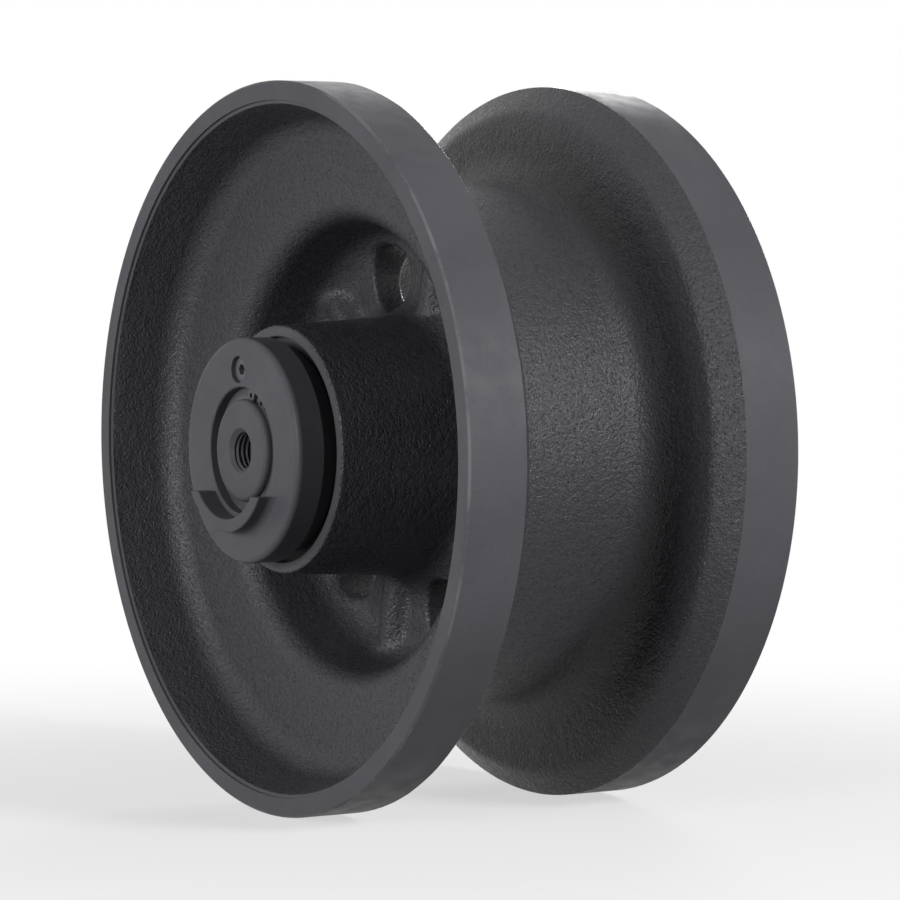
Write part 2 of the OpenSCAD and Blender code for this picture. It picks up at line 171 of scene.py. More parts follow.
class IdlerShaftSizes(PropertyGroup):
    """Sizes of the fixed shaft and its tapped ends"""
    journal_d: length("Journal diameter", "Diameter in the bushes", 55)
    end_d: length("End diameter", "Diameter of the shaft ends", 50)
    end: length("Half length", "Distance from the middle to each end", 110.5)
    shoulder: length("Shoulder", "Distance from the middle to each shoulder", 70.3)
    end_round: length("End rounding", "Rounding of the end corners", 2.5)
    groove: length("Ring groove", "Distance from the middle to each ring's groove", 104.8)
    groove_w: length("Groove width", "Width of that groove", 2.04)
    groove_depth: length("Groove depth", "Depth of that groove", 1.5)
    thread_d: length("Thread diameter", "Outer diameter of the threads", 20)
    thread_core_d: length("Thread core", "Inner diameter of the threads", 17.5)
    thread_pitch: length("Thread pitch", "Pitch of the threads", 2.5)
    thread_len: length("Thread length", "Length of the threads from the end", 32)
    tap_depth: length("Hole depth", "Depth of the tapped holes", 40)
    mouth_d: length("Mouth diameter", "Diameter of the countersink", 22.2)
    mouth_depth: length("Mouth depth", "Depth of the countersink", 2.6)


class IdlerColours(PropertyGroup):
    """Colours of the finishes"""
    cast: colour("Cast paint", "Paint on the cast skin", (0.051, 0.050, 0.057))
    # Painted shade: a darker paint colour put in the low parts of the cast relief, where shade falls;
    # the tops keep the plain paint colour
    cast_hollow_shade: colour("Cast hollows", "Paint in the hollows of the cast skin", (0.034, 0.033, 0.038))
    turned: colour("Turned paint", "Paint on the turned faces", (0.087, 0.085, 0.095))
    worn: colour("Worn edge", "Edges where the paint has rubbed thin", (0.15, 0.148, 0.158))
    black: colour("Blackened steel", "Spring rings", (0.060, 0.059, 0.063))
    bronze: colour("Bronze", "Bushes", (0.42, 0.28, 0.11))
    iron: colour("Seal iron", "Rings of the floating seals", (0.28, 0.28, 0.29))
    rubber: colour("Rubber", "Toric rings and O-rings", (0.015, 0.015, 0.016))


class IdlerStage(PropertyGroup):
    """Camera, floor and light"""
    azimuth: angle("Azimuth", "Camera's turn to the right of the near end", 57.61)
    elevation: angle("Elevation", "Camera's height angle", 2.812)
    distance: length("Distance", "Distance from the wheel's centre", 2024.4)
    aside: length("Aside", "How far the camera stands to the right", 8.80)
    lowered: length("Lowered", "How far the camera stands down", 2.63)
    lens: number("Lens", "Focal length in millimetres on a 36 mm sensor", 161.472)
    ambient: number("Ambient", "Strength of the light from all round", 0.03)


# Outlines with rounded corners, and meshes turned from them

def outline(corners, widest):
    """Points of an open outline. A corner is (radius, along, rounding, finish after it)."""
    points, finishes = [], []

    def add(point, finish):
        if points and np.linalg.norm(point - points[-1]) < 1e-7:
            return
        if points:
            finishes.append(finish)
        points.append(point)

    def straight(target, finish):
        """Goes on to a point with short stretches at both ends, so that shading stays flat between"""
        start = points[-1]
        run = np.linalg.norm(target - start)
        edge = min(FLAT_STRIP, run / 4)
        inner = math.ceil((run - 2 * edge) / widest[finish]) if run > SHORT_STRAIGHT else 0
        if inner:
            for k in range(inner + 1):
                add(start + (target - start) * (edge + (run - 2 * edge) * k / inner) / run, finish)
        add(target, finish)

    spots = [np.array(c[:2], float) for c in corners]
    add(spots[0], None)
    for i in range(1, len(corners)):
        finish = corners[i - 1][3]
        if i == len(corners) - 1 or corners[i][2] <= 0:
            straight(spots[i], finish)
            continue
        back = spots[i - 1] - spots[i]
        ahead = spots[i + 1] - spots[i]
        back /= np.linalg.norm(back)
        ahead /= np.linalg.norm(ahead)
        half = math.acos(np.clip(back @ ahead, -1, 1)) / 2
        rounding = corners[i][2]
        reach = rounding / math.tan(half)
        centre = spots[i] + (back + ahead) / np.linalg.norm(back + ahead) * rounding / math.sin(half)
        first = spots[i] + back * reach - centre
        last = spots[i] + ahead * reach - centre
        straight(centre + first, finish)
        sweep = math.pi - 2 * half
        count = max(2 if rounding < SMALL_ROUNDING else 4, math.ceil(sweep / ARC_STEP))
        for k in range(1, count + 1):
            t = k / count
            mixed = first * math.sin((1 - t) * sweep) + last * math.sin(t * sweep)
            add(centre + mixed / math.sin(sweep), finish)
    return np.array(points), finishes


def mirrored(points, finishes):
    """An outline that starts on the middle plane, with its mirror image put before it"""
    flipped = points[:0:-1] * (1, -1)
    return np.vstack([flipped, points]), finishes[::-1] + finishes


def ring_points(radius, along, turns):
    """Points round the wheel's axis"""
    return np.stack([radius * np.cos(turns), np.broadcast_to(along, np.shape(radius * turns)),
                     radius * np.sin(turns)], axis=-1)


def grid_faces(rows, columns, start):
    """Quads of a grid whose rows go round, so that the last column joins the first"""
    quads = []
    for i in range(rows - 1):
        for j in range(columns):
            k = (j + 1) % columns
            quads.append((start + i * columns + j, start + i * columns + k,
                          start + (i + 1) * columns + k, start + (i + 1) * columns + j))
    return quads


class Pieces:
    """Gathers vertices, faces and their finishes for one mesh"""

    def __init__(self):
        self.points, self.faces, self.finishes = [], [], []

    def grid(self, points, finishes):
        """A closed grid with one finish, or with one for each row of faces"""
        rows, columns = points.shape[:2]
        self.faces.extend(grid_faces(rows, columns, len(self.points)))
        self.points.extend(map(tuple, points.reshape(-1, 3)))
        if isinstance(finishes, int):
            finishes = [finishes] * (rows - 1)
        for finish in finishes:
            self.finishes.extend([finish] * columns)

    def turned(self, points, finishes, turns):
        """An outline turned round the axle"""
        self.grid(np.array([ring_points(r, y, turns) for r, y in points]), finishes)

    def disc(self, radius, along, turns, finish):
        """A flat floor that closes a hole"""
        start = len(self.points)
        self.points.extend(map(tuple, ring_points(radius, along, turns)))
        self.points.append((0.0, float(along), 0.0))
        for j in range(len(turns)):
            self.faces.append((start + j, start + (j + 1) % len(turns), start + len(turns)))
            self.finishes.append(finish)

    def mesh(self, name, materials):
        data = bpy.data.meshes.new(name)
        data.from_pydata(self.points, [], self.faces)
        data.polygons.foreach_set("material_index", self.finishes)
        for material in materials:
            data.materials.append(material)
        close_mesh(data)
        return data


def close_mesh(data):
    """Joins doubled points and turns the faces outwards"""
    work = bmesh.new()
    work.from_mesh(data)
    bmesh.ops.remove_doubles(work, verts=work.verts, dist=1e-6)
    bmesh.ops.dissolve_degenerate(work, edges=work.edges, dist=1e-8)
    bmesh.ops.recalc_face_normals(work, faces=work.faces)
    if work.calc_volume(signed=True) < 0:
        bmesh.ops.reverse_faces(work, faces=work.faces)
    for face in work.faces:
        face.smooth = True
    work.to_mesh(data)
    work.free()
    data.update()


def add_object(name, data):
    found = bpy.data.objects.new(name, data)
    bpy.context.scene.collection.objects.link(found)
    return found


def joined(name, meshes):
    """One mesh from several that share their material list"""
    work = bmesh.new()
    for data in meshes:
        work.from_mesh(data)
    out = bpy.data.meshes.new(name)
    for material in meshes[0].materials:
        out.materials.append(material)
    work.to_mesh(out)
    work.free()
    for data in meshes:
        bpy.data.meshes.remove(data)
    close_mesh(out)
    return out


# Geometry Nodes: one sector of the web repeated round the axle

def repeat_tree():
    """A tree that repeats a sector round the axle and paints it"""
    tree = bpy.data.node_groups.new("repeat_round_axle", "GeometryNodeTree")
    face = tree.interface
    face.new_socket("Sector", in_out="INPUT", socket_type="NodeSocketGeometry")
    count = face.new_socket("Count", in_out="INPUT", socket_type="NodeSocketInt")
    count.default_value = 6
    skin = face.new_socket("Skin", in_out="INPUT", socket_type="NodeSocketMaterial")
    face.new_socket("Web", in_out="OUTPUT", socket_type="NodeSocketGeometry")
    add = tree.nodes.new
    link = tree.links.new
    given = add("NodeGroupInput")
    points = add("GeometryNodePoints")
    index = add("GeometryNodeInputIndex")
    share = add("ShaderNodeMath")
    share.operation = "DIVIDE"
    turn = add("ShaderNodeMath")
    turn.operation = "MULTIPLY"
    turn.inputs[1].default_value = math.tau
    euler = add("ShaderNodeCombineXYZ")
    rotation = add("FunctionNodeEulerToRotation")
    place = add("GeometryNodeInstanceOnPoints")
    real = add("GeometryNodeRealizeInstances")
    weld = add("GeometryNodeMergeByDistance")
    weld.inputs["Distance"].default_value = 1e-6
    paint = add("GeometryNodeSetMaterial")
    result = add("NodeGroupOutput")
    link(given.outputs["Count"], points.inputs["Count"])
    link(index.outputs[0], share.inputs[0])
    link(given.outputs["Count"], share.inputs[1])
    link(share.outputs[0], turn.inputs[0])
    link(turn.outputs[0], euler.inputs["Y"])
    link(euler.outputs[0], rotation.inputs[0])
    link(points.outputs[0], place.inputs["Points"])
    link(given.outputs["Sector"], place.inputs["Instance"])
    link(rotation.outputs[0], place.inputs["Rotation"])
    link(place.outputs[0], weld.inputs["Geometry"])
    link(weld.outputs[0], real.inputs[0])
    link(real.outputs[0], paint.inputs["Geometry"])
    link(given.outputs["Skin"], paint.inputs["Material"])
    link(paint.outputs[0], result.inputs[0])
    return tree, count.identifier, skin.identifier


def repeated(data, count, skin):
    """The mesh of a sector repeated round the axle"""
    tree, count_id, skin_id = repeat_tree()
    sector = add_object("web_sector", data)
    modifier = sector.modifiers.new("Repeat", "NODES")
    modifier.node_group = tree
    modifier[count_id] = count
    modifier[skin_id] = skin
    seen = sector.evaluated_get(bpy.context.evaluated_depsgraph_get())
    out = bpy.data.meshes.new_from_object(seen)
    sector.modifiers.remove(modifier)
    bpy.data.objects.remove(sector)
    bpy.data.meshes.remove(data)
    bpy.data.node_groups.remove(tree)
    return out


# The cast wheel

def wheel_outlines(s):
    """Outlines of the rims, of the hub and of the trough between them, on the far half"""
    rim_r, face, floor_r = s.rim_d / 2, s.wheel_w / 2, s.floor_d / 2
    flank_top, crease_r = s.groove_w / 2 - s.bevel_w, rim_r - s.bevel_depth
    flank_foot = flank_top - (crease_r - floor_r) * math.tan(s.flank_lean)
    lip_r, lip_y = floor_r - s.drum_wall, face - s.lip_depth
    well_r, root_r, web = lip_r - s.well_draft, s.hub_r + s.hub_taper, s.web_t / 2
    hub_end = s.hub_w / 2
    cut = web + s.well_fillet + WEB_CUT
    cut_out = well_r + s.well_draft * (cut - web) / (lip_y - web)
    cut_in = root_r - s.hub_taper * (cut - web) / (hub_end - web)
    rims = outline([
        (floor_r, 0, 0, CAST),
        (floor_r, flank_foot, s.floor_fillet, CAST),
        (crease_r, flank_top, s.crease_round, CAST),
        (rim_r, s.groove_w / 2, GROOVE_EDGE, TURNED),
        (rim_r, face - s.rim_chamfer, TURNED_EDGE, TURNED),
        (rim_r - s.rim_chamfer, face, TURNED_EDGE, TURNED),
        (rim_r - s.face_ring, face, TURNED_EDGE, TURNED),
        (rim_r - s.face_ring, face - s.face_step_depth, STEP_EDGE, TURNED),
        (rim_r - s.face_ring - s.face_step, face - s.face_step_depth, STEP_INNER_EDGE, CAST),
        (rim_r - s.foot_inset, face - s.foot_depth, s.foot_fillet, CAST),
        (lip_r, lip_y, s.lip_round, CAST),
        (cut_out, cut, 0, CAST)], WHEEL_STEPS)
    seat = hub_end - s.mouth_depth
    hub = outline([
        (cut_in, cut, 0, CAST),
        (s.hub_r, hub_end, HUB_EDGE, TURNED),
        (s.mouth_r, hub_end, MOUTH_EDGE, TURNED),
        (s.mouth_r, seat, TURNED_EDGE, TURNED),
        (s.cone_mouth_r, seat, 0, TURNED),
        (s.cone_floor_r, s.cone_floor, 0, TURNED),
        (s.flange_r, s.cone_floor, 0, TURNED),
        (s.flange_r, s.flange_floor, 0, TURNED),
        (s.bush_r, s.flange_floor, 0, TURNED),
        (s.bush_r, s.bush_end, 0, TURNED),
        (s.relief_r, s.relief_end, 0, TURNED),
        (s.relief_r, 0, 0, TURNED)], WHEEL_STEPS)
    trough = outline([
        (cut_in, cut, 0, CAST),
        (root_r, web, s.well_fillet, CAST),
        (well_r, web, s.well_fillet, CAST),
        (cut_out, cut, 0, CAST)], TROUGH_STEPS)
    return rims, hub, trough


def smooth_max(a, b, blend):
    """The higher of two heights, with a soft change from one to the other"""
    near = np.clip(0.5 + 0.5 * (a - b) / blend, 0, 1)
    return b + (a - b) * near + blend * near * (1 - near)


def web_sector(s, trough):
    """One sector of the web round one core hole, with half a rib at each side"""
    reach = np.concatenate([[0], np.cumsum(np.linalg.norm(np.diff(trough, axis=0), axis=1))])
    half_turn = math.pi / s.hole_count
    root_r, well_r = s.hub_r + s.hub_taper, s.floor_d / 2 - s.drum_wall - s.well_draft
    pitch_r, hole_r, rounding = (root_r + well_r) / 2, s.hole_d / 2, s.hole_round
    turns = np.linspace(-half_turn, half_turn, SECTOR_COLUMNS + 1)
    along = np.linspace(0, reach[-1], SECTOR_SIDE + 1)
    border = np.vstack([
        np.stack([np.full(SECTOR_COLUMNS, 0.0), turns[:-1]], 1),
        np.stack([along[:-1], np.full(SECTOR_SIDE, half_turn)], 1),
        np.stack([np.full(SECTOR_COLUMNS, reach[-1]), turns[:0:-1]], 1),
        np.stack([along[:0:-1], np.full(SECTOR_SIDE, -half_turn)], 1)])
    middle = np.interp(pitch_r, trough[:, 0], reach)
    bearing = np.arctan2(border[:, 1] * pitch_r, border[:, 0] - middle)
    across, aside = pitch_r + hole_r * np.cos(bearing), hole_r * np.sin(bearing)
    rim = np.stack([np.interp(np.hypot(across, aside), trough[:, 0], reach),
                    np.arctan2(aside, across)], 1)
    span = np.hypot((border - rim)[:, 0], (border - rim)[:, 1] * pitch_r)
    layers = [step / HOLE_LAYERS_FOR * rounding / span for step in HOLE_LAYERS]
    start = layers[-1]
    for t in np.linspace(0, 1, WEB_LAYERS)[1:]:
        layers.append(start + (1 - start) * t)
    grid = np.array([rim + (border - rim) * w[:, None] for w in layers])
    radius = np.interp(grid[..., 0], reach, trough[:, 0])
    height = np.interp(grid[..., 0], reach, trough[:, 1])
    turn = grid[..., 1]
    from_rib = radius * np.sin(half_turn - np.abs(turn))
    share = np.clip((from_rib - (s.rib_w - s.rib_run) / 2) / s.rib_run, 0, 1)
    rib = s.web_t / 2 - RIB_SINK + (s.rib_h + RIB_SINK) * (1 - share * share * (3 - 2 * share))
    height = smooth_max(height, rib, RIB_BLEND)
    from_wall = np.hypot(radius * np.cos(turn) - pitch_r, radius * np.sin(turn)) - hole_r
    inside = np.clip(rounding - from_wall, 0, rounding)
    height = height - (rounding - np.sqrt(rounding ** 2 - inside ** 2))
    turn = turn + s.hole_angle
    shell = Pieces()
    for side in (-1, 1):
        shell.grid(ring_points(radius, side * height, turn), CAST)
    wall = np.array([ring_points(radius[0], height[0] * level, turn[0])
                     for level in np.linspace(-1, 1, HOLE_WALL_ROWS)])
    shell.grid(wall, CAST)
    return shell


def roughen(data, wave):
    """Slow waves in the cast skin, left off every point that a turned face touches"""
    work = bmesh.new()
    work.from_mesh(data)
    for vert in work.verts:
        if any(face.material_index == TURNED for face in vert.link_faces):
            continue
        lift = noise.noise(vert.co * SLOW_WAVES) + QUICK_SHARE * noise.noise(vert.co * QUICK_WAVES)
        vert.co += vert.normal * lift * wave
    work.to_mesh(data)
    work.free()
    data.update()


class IDLER_OT_wheel(Operator):
    """Builds the cast wheel: rims, groove, dished sides, web with core holes and ribs, and hub"""
    bl_idname = "idler.wheel"
    bl_label = "Cast wheel"

    def execute(self, context):
        s = context.scene.idler_wheel
        finishes = [bpy.data.materials["cast_skin"], bpy.data.materials["turned_paint"]]
        rims, hub, trough = wheel_outlines(s)
        columns = SECTOR_COLUMNS * s.hole_count
        turns = s.hole_angle + math.pi / s.hole_count + np.arange(columns) * math.tau / columns
        shell = Pieces()
        shell.turned(*mirrored(*rims), turns)
        points, kinds = hub
        shell.turned(*mirrored(points[::-1], kinds[::-1]), turns)
        sector = web_sector(s, trough[0]).mesh("web_sector", finishes[:1])
        web = repeated(sector, s.hole_count, finishes[CAST])
        body = joined("wheel_casting", [shell.mesh("rims", finishes), web])
        roughen(body, s.cast_wave)
        wheel = add_object("wheel_casting", body)
        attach(wheel, "wheel")
        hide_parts("idler_wheel")
        return {"FINISHED"}


# The fixed shaft

# One turn of the thread: shares of the pitch, and whether the core or the crest is reached there
THREAD_SHARES = (0, 0.25, 0.5625, 0.6875, 1.0)
THREAD_RISE = (0, 0, 1, 1, 0)


def thread_radius(s, depth, turns):
    """Radius of the tapped hole at a depth below the shaft's end"""
    phase = (depth / s.thread_pitch - turns / math.tau) % 1.0
    rise = np.interp(phase, THREAD_SHARES, THREAD_RISE)
    fade = np.clip((s.thread_len - depth) / s.thread_pitch, 0, 1)
    core, crest = s.thread_core_d / 2, s.thread_d / 2
    cone = s.mouth_d / 2 + (core - s.mouth_d / 2) * depth / s.mouth_depth
    return np.maximum(core + (crest - core) * rise * fade, np.maximum(cone, core))


class IDLER_OT_shaft(Operator):
    """Builds the fixed shaft with a threaded hole in each end"""
    bl_idname = "idler.shaft"
    bl_label = "Shaft"

    def execute(self, context):
        s = context.scene.idler_shaft
        end_r, journal_r = s.end_d / 2, s.journal_d / 2
        body = outline([
            (journal_r, 0, 0, TURNED),
            (journal_r, s.shoulder, TURNED_EDGE, TURNED),
            (end_r, s.shoulder, 0, TURNED),
            (end_r, s.groove, 0, TURNED),
            (end_r - s.groove_depth, s.groove, 0, TURNED),
            (end_r - s.groove_depth, s.groove + s.groove_w, 0, TURNED),
            (end_r, s.groove + s.groove_w, RING_GROOVE_EDGE, TURNED),
            (end_r, s.end, s.end_round, TURNED),
            (s.mouth_d / 2, s.end, 0, TURNED)], SHAFT_STEPS)
        turns = np.arange(SHAFT_COLUMNS) * math.tau / SHAFT_COLUMNS
        shell = Pieces()
        shell.turned(*mirrored(*body), turns)
        steps = np.concatenate([np.linspace(0, s.thread_len, THREAD_ROWS), [s.tap_depth]])
        for sign in (-1, 1):
            hole = []
            for depth in steps:
                radius = thread_radius(s, np.full(len(turns), depth), sign * turns)
                hole.append(ring_points(radius, sign * (s.end - depth), turns))
            shell.grid(np.array(hole), TURNED)
            shell.disc(s.thread_core_d / 2, sign * (s.end - s.tap_depth), turns, TURNED)
        paint = [bpy.data.materials["turned_paint"]] * 2
        shaft = add_object("shaft_turned", shell.mesh("shaft_turned", paint))
        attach(shaft, "axle")
        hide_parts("shaft")
        return {"FINISHED"}


# Finishes

RANGE_SOCKETS = ("From Min", "From Max", "To Min", "To Max")


class Finish:
    """A material and short ways to add and join its nodes"""

    def __init__(self, name, metallic=0.0, sheen=0.5, index=1.5):
        self.material = bpy.data.materials.new(name)
        self.material.use_nodes = True
        self.tree = self.material.node_tree
        self.shader = self.tree.nodes["Principled BSDF"]
        self.shader.inputs["Metallic"].default_value = metallic
        self.shader.inputs["Specular IOR Level"].default_value = sheen
        self.shader.inputs["IOR"].default_value = index
        self.place = self.tree.nodes.new("ShaderNodeTexCoord").outputs["Object"]

    def join(self, source, target):
        if isinstance(source, (int, float)):
            target.default_value = source
        else:
            self.tree.links.new(source, target)

    def noise(self, scale, detail=3.0, rough=0.55, where=None):
        made = self.tree.nodes.new("ShaderNodeTexNoise")
        made.inputs["Scale"].default_value = scale
        made.inputs["Detail"].default_value = detail
        made.inputs["Roughness"].default_value = rough
        self.join(where or self.place, made.inputs["Vector"])
        return made.outputs["Fac"]

    def cells(self, scale, smooth):
        made = self.tree.nodes.new("ShaderNodeTexVoronoi")
        made.feature = "SMOOTH_F1"
        made.inputs["Scale"].default_value = scale
        made.inputs["Smoothness"].default_value = smooth
        self.join(self.place, made.inputs["Vector"])
        return made.outputs["Distance"]

    def math(self, operation, a, b=0.0):
        made = self.tree.nodes.new("ShaderNodeMath")
        made.operation = operation
        self.join(a, made.inputs[0])
        self.join(b, made.inputs[1])
        return made.outputs[0]

    def spread(self, value, low, high, to_low=0.0, to_high=1.0):
        made = self.tree.nodes.new("ShaderNodeMapRange")
        made.interpolation_type = "SMOOTHSTEP"
        self.join(value, made.inputs["Value"])
        for name, limit in zip(RANGE_SOCKETS, (low, high, to_low, to_high)):
            made.inputs[name].default_value = limit
        return made.outputs["Result"]

    def mix(self, share, first, second):
        made = self.tree.nodes.new("ShaderNodeMix")
        made.data_type = "RGBA"
        self.join(share, made.inputs["Factor"])
        for source, target in ((first, made.inputs["A"]), (second, made.inputs["B"])):
            if hasattr(source, "is_output"):
                self.join(source, target)
            else:
                target.default_value = (*source, 1.0)
        return made.outputs["Result"]

    def radius_and_along(self):
        """Distance from the axle and distance from the middle plane"""
        parts = self.tree.nodes.new("ShaderNodeSeparateXYZ")
        self.join(self.place, parts.inputs[0])
        x, y, z = parts.outputs
        squares = self.math("ADD", self.math("MULTIPLY", x, x), self.math("MULTIPLY", z, z))
        return self.math("SQRT", squares), self.math("ABSOLUTE", y)

    def bump(self, height, strength, depth, under=None):
        made = self.tree.nodes.new("ShaderNodeBump")
        made.inputs["Strength"].default_value = strength
        made.inputs["Distance"].default_value = depth
        self.join(height, made.inputs["Height"])
        if under is not None:
            self.join(under, made.inputs["Normal"])
        return made.outputs["Normal"]

    def finish(self, colour_, roughness, normal):
        self.join(colour_, self.shader.inputs["Base Color"])
        self.join(roughness, self.shader.inputs["Roughness"])
        self.join(normal, self.shader.inputs["Normal"])
        return self.material


# Where the finishes change, in metres from the axle or from the middle plane
HUB_SKIN = (0.055, 0.085)
WELL_OUT = (0.100, 0.118)
WELL_UP = (0.040, 0.060)
RIM_EDGE = (0.1787, 0.1793)
FACE_EDGE = (0.0921, 0.0926)
FINE_BUMP = 0.2 * MM


def toned(base, share):
    """A colour made darker or lighter"""
    return [value * share for value in base]


def cast_skin(c):
    """Semi-gloss paint over a sand-cast skin, with painted shade in the skin's hollows"""
    f = Finish("cast_skin", sheen=0.9, index=1.23)
    grit = f.noise(900, 2, 0.6)
    grain = f.noise(430, 3, 0.6)
    pits = f.spread(f.cells(560, 0.35), 0.0, 0.4, 1.0, 0.0)
    lumps = f.noise(120, 2)
    relief = f.math("ADD", f.math("MULTIPLY", grit, 0.6), f.math("MULTIPLY", grain, 0.7))
    relief = f.math("SUBTRACT", relief, f.math("MULTIPLY", pits, 0.3))
    radius, along = f.radius_and_along()
    coarse = f.math("MULTIPLY", relief, f.spread(radius, *HUB_SKIN, 1.35, 1.0))
    # The paint goes darker where the relief is low: painted shade in the hollows of the cast skin
    paint = f.mix(f.spread(relief, 0.35, 0.75), c.cast_hollow_shade, c.cast)
    inner, low = f.spread(radius, *WELL_OUT, 1.0, 0.0), f.spread(along, *WELL_UP, 1.0, 0.0)
    well = f.math("MULTIPLY", inner, low)
    runs = f.math("MULTIPLY", f.noise(300, 2), well)
    gloss = f.spread(well, 0.0, 1.0, 1.0, 0.7)
    roughness = f.math("MULTIPLY", f.spread(grain, 0.3, 0.7, 0.21, 0.36), gloss)
    normal = f.bump(lumps, 0.5, 1.0 * MM)
    normal = f.bump(runs, 1.0, 0.6 * MM, normal)
    normal = f.bump(coarse, 1.0, 0.8 * MM, normal)
    return f.finish(paint, roughness, normal)


def turned_paint(c):
    """Satin paint over turned faces, rubbed thin on the rims' outer edges"""
    f = Finish("turned_paint", sheen=0.5, index=1.2)
    radius, along = f.radius_and_along()
    rings = f.tree.nodes.new("ShaderNodeCombineXYZ")
    f.join(radius, rings.inputs["X"])
    f.join(along, rings.inputs["Y"])
    marks = f.noise(1500, 2, 0.5, rings.outputs[0])
    speckle = f.noise(700, 3)
    cloud = f.noise(14, 4)
    shade = f.mix(f.spread(cloud, 0.3, 0.7), toned(c.turned, 0.90), toned(c.turned, 1.08))
    shade = f.mix(f.spread(speckle, 0.45, 0.75, 0.0, 0.25), shade, toned(c.turned, 0.6))
    edge = f.math("MULTIPLY", f.spread(radius, *RIM_EDGE), f.spread(along, *FACE_EDGE))
    rubbed = f.math("MULTIPLY", edge, f.spread(f.noise(28, 5, 0.65), 0.36, 0.6))
    shade = f.mix(rubbed, shade, c.worn)
    roughness = f.spread(f.noise(90, 4), 0.3, 0.7, 0.38, 0.52)
    normal = f.bump(marks, 0.18, FINE_BUMP)
    normal = f.bump(speckle, 0.22, FINE_BUMP, normal)
    return f.finish(shade, roughness, normal)


def fine_finish(name, base, low, high, metallic, scale, strength):
    """A plain finish with fine grain, for small and hidden pieces"""
    f = Finish(name, metallic)
    grain = f.noise(scale, 4)
    shade = f.mix(f.spread(f.noise(scale / 9, 3), 0.3, 0.7), toned(base, 0.85), toned(base, 1.1))
    return f.finish(shade, f.spread(grain, 0.3, 0.7, low, high), f.bump(grain, strength, FINE_BUMP))


class IDLER_OT_finishes(Operator):
    """Makes the finishes and puts them on the solids that stay as they are"""
    bl_idname = "idler.finishes"
    bl_label = "Finishes"

    def execute(self, context):
        c = context.scene.idler_colours
        cast_skin(c)
        turned = turned_paint(c)
        plug = fine_finish("plug_paint", c.turned, 0.38, 0.52, 0.0, 900, 0.2)
        black = fine_finish("blackened_steel", c.black, 0.35, 0.5, 0.3, 900, 0.2)
        bronze = fine_finish("bush_bronze", c.bronze, 0.28, 0.42, 1.0, 700, 0.15)
        iron = fine_finish("seal_iron", c.iron, 0.25, 0.4, 0.9, 900, 0.15)
        rubber = fine_finish("matte_rubber", c.rubber, 0.55, 0.75, 0.0, 800, 0.25)
        wear = {"collar": turned, "oil_plug": plug, "retaining_ring": black, "bush": bronze,
                "seal_ring": iron, "toric_ring": rubber, "o_ring": rubber}
        for name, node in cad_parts.items():
            for ending, material in wear.items():
                if name.endswith(ending):
                    node.data.materials.clear()
                    node.data.materials.append(material)
        return {"FINISHED"}


# Floor, light and camera

FLOOR_HALF = 6.0
FLOOR_TONES = (0.2, 0.9)
SHADOW_REACH = (0.2, 0.8)
SHADOW_GLOW = (0.6, 1.0)
SENSOR_MM = 36.0
VIEW_REACH = 50.0
LAMP_REACH = 3.0

# Each lamp's turn and height angle in degrees, its size in metres and its power in watts
LAMPS = {
    "front_key": (16, 9, 1.0, 52),
    "front_high": (-15, 30, 0.9, 3),
    "front_fill": (-6, 6, 1.0, 13),
    "right_key": (111, 24, 0.8, 60),
    "right_low": (114, 6, 0.8, 14),
    "back_key": (226, 16, 1.2, 48),
}


def background_seen(tree):
    """1 where the camera, a reflection or clear glass looks at the background, and 0 for its light"""
    path = tree.nodes.new("ShaderNodeLightPath")
    total = path.outputs["Is Camera Ray"]
    for name in ("Is Glossy Ray", "Is Transmission Ray"):
        add = tree.nodes.new("ShaderNodeMath")
        add.operation = "MAXIMUM"
        tree.links.new(total, add.inputs[0])
        tree.links.new(path.outputs[name], add.inputs[1])
        total = add.outputs[0]
    return total


def facing(turn, height):
    """Direction to the right of the near end by a turn, and above the axle by a height angle"""
    level = math.cos(height)
    return Vector((math.sin(turn) * level, -math.cos(turn) * level, math.sin(height)))


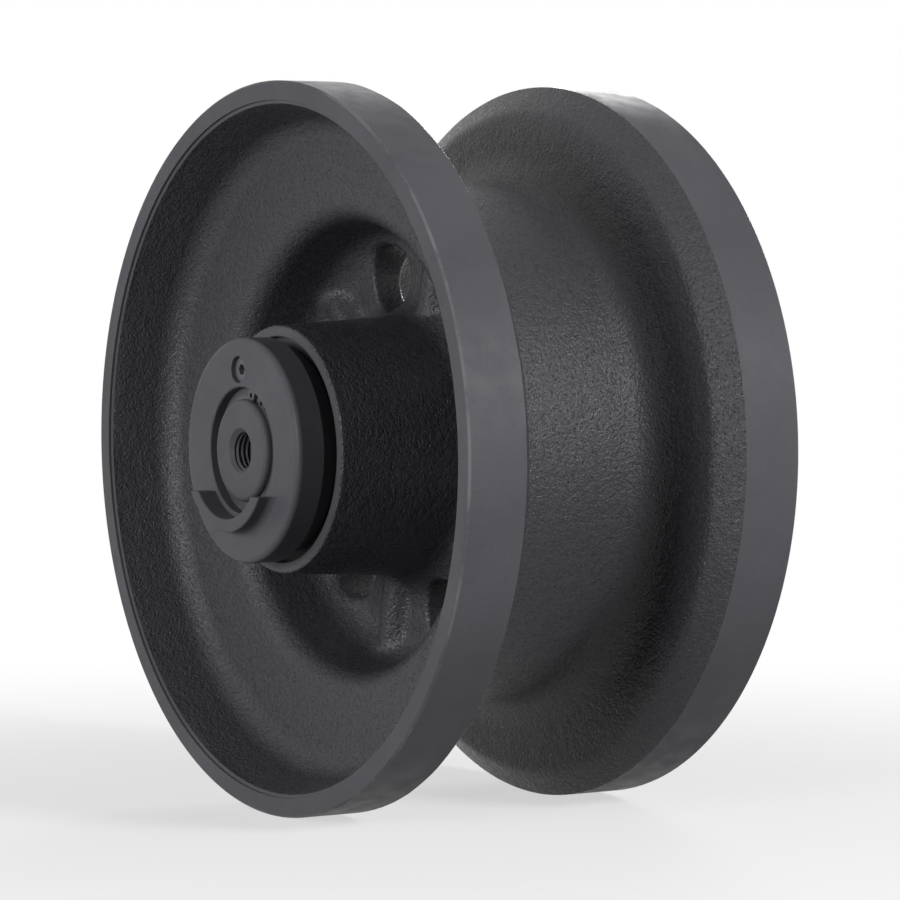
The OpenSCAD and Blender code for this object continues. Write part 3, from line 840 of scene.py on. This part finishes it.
class IDLER_OT_stage(Operator):
    """Sets out the floor, the studio lights, the white surround and the camera"""
    bl_idname = "idler.stage"
    bl_label = "Stage"

    def execute(self, context):
        s = context.scene.idler_stage
        context.scene.view_settings.view_transform = "Standard"
        self.floor()
        self.surround(context.scene, s.ambient)
        back = facing(s.azimuth, s.elevation)
        right = Vector((math.cos(s.azimuth), math.sin(s.azimuth), 0.0))
        up = back.cross(right)
        for name, (turn, height, size, power) in LAMPS.items():
            spot = facing(math.radians(turn), math.radians(height)) * LAMP_REACH
            self.lamp(name, spot, size, power)
        data = bpy.data.cameras.new("camera")
        data.sensor_width = SENSOR_MM
        data.lens = s.lens
        data.clip_end = VIEW_REACH
        camera = add_object("camera", data)
        spot = back * s.distance + right * s.aside - up * s.lowered
        turned = Matrix((right, up, back)).transposed().to_4x4()
        camera.matrix_world = Matrix.Translation(spot) @ turned
        context.scene.camera = camera
        return {"FINISHED"}

    def lamp(self, name, spot, size, power):
        data = bpy.data.lights.new(name, "AREA")
        data.shape = "DISK"
        data.size = size
        data.energy = power
        lamp = add_object(name, data)
        turned = spot.to_track_quat("Z", "Y").to_matrix().to_4x4()
        lamp.matrix_world = Matrix.Translation(spot) @ turned

    def floor(self):
        """A pale floor that keeps the shadow near the wheel and goes over to white around it"""
        low, half = CAD_BOX[0][2], FLOOR_HALF
        corners = [(-half, -half, low), (half, -half, low), (half, half, low), (-half, half, low)]
        data = bpy.data.meshes.new("floor")
        data.from_pydata(corners, [], [(0, 1, 2, 3)])
        floor = add_object("floor", data)
        paper = bpy.data.materials.new("pale_floor")
        paper.use_nodes = True
        tree = paper.node_tree
        tree.nodes.clear()
        add, link = tree.nodes.new, tree.links.new
        out = add("ShaderNodeOutputMaterial")
        matte = add("ShaderNodeBsdfDiffuse")
        tone = add("ShaderNodeMapRange")
        tone.inputs["To Min"].default_value, tone.inputs["To Max"].default_value = FLOOR_TONES
        glow = add("ShaderNodeEmission")
        place = add("ShaderNodeTexCoord")
        away = add("ShaderNodeVectorMath")
        away.operation = "LENGTH"
        clear = add("ShaderNodeMapRange")
        clear.interpolation_type = "SMOOTHSTEP"
        for name, limit in zip(RANGE_SOCKETS, SHADOW_REACH + SHADOW_GLOW):
            clear.inputs[name].default_value = limit
        seen = add("ShaderNodeMath")
        seen.operation = "MULTIPLY"
        mix = add("ShaderNodeMixShader")
        link(place.outputs["Object"], away.inputs[0])
        link(away.outputs["Value"], clear.inputs["Value"])
        link(clear.outputs["Result"], seen.inputs[0])
        looked_at = background_seen(tree)
        link(looked_at, seen.inputs[1])
        link(looked_at, tone.inputs["Value"])
        link(tone.outputs["Result"], matte.inputs["Color"])
        link(seen.outputs[0], mix.inputs[0])
        link(matte.outputs[0], mix.inputs[1])
        link(glow.outputs[0], mix.inputs[2])
        link(mix.outputs[0], out.inputs["Surface"])
        data.materials.append(paper)

    def surround(self, scene, ambient):
        """White to look at, with only a little light of its own"""
        world = bpy.data.worlds.new("white_surround")
        scene.world = world
        world.use_nodes = True
        tree = world.node_tree
        light = tree.nodes["Background"]
        light.inputs["Color"].default_value = (1.0, 1.0, 1.0, 1.0)
        strength = tree.nodes.new("ShaderNodeMapRange")
        strength.inputs["To Min"].default_value = ambient
        strength.inputs["To Max"].default_value = 1.0
        tree.links.new(background_seen(tree), strength.inputs["Value"])
        tree.links.new(strength.outputs["Result"], light.inputs["Strength"])


class IDLER_PT_panel(Panel):
    """Lists the pieces of the idler and their sizes"""
    bl_label = "Track idler"
    bl_idname = "IDLER_PT_panel"
    bl_space_type = "VIEW_3D"
    bl_region_type = "UI"
    bl_category = "Idler"

    def draw(self, context):
        for operator in OPERATORS:
            self.layout.operator(operator.bl_idname)
        for name in GROUPS:
            settings = getattr(context.scene, name)
            box = self.layout.box()
            box.label(text=settings.bl_rna.description)
            for item in settings.bl_rna.properties:
                if item.identifier not in ("name", "rna_type"):
                    box.prop(settings, item.identifier)


OPERATORS = (IDLER_OT_finishes, IDLER_OT_wheel, IDLER_OT_shaft, IDLER_OT_stage)
GROUPS = {"idler_wheel": IdlerWheelSizes, "idler_shaft": IdlerShaftSizes,
          "idler_colours": IdlerColours, "idler_stage": IdlerStage}


def register():
    for found in (*GROUPS.values(), *OPERATORS, IDLER_PT_panel):
        bpy.utils.register_class(found)
    for name, group in GROUPS.items():
        setattr(bpy.types.Scene, name, PointerProperty(type=group))


def unregister():
    for name in GROUPS:
        delattr(bpy.types.Scene, name)
    for found in reversed((*GROUPS.values(), *OPERATORS, IDLER_PT_panel)):
        bpy.utils.unregister_class(found)


def main():
    register()
    bpy.ops.idler.finishes()
    bpy.ops.idler.wheel()
    bpy.ops.idler.shaft()
    bpy.ops.idler.stage()


if __name__ == "__main__":
    main()
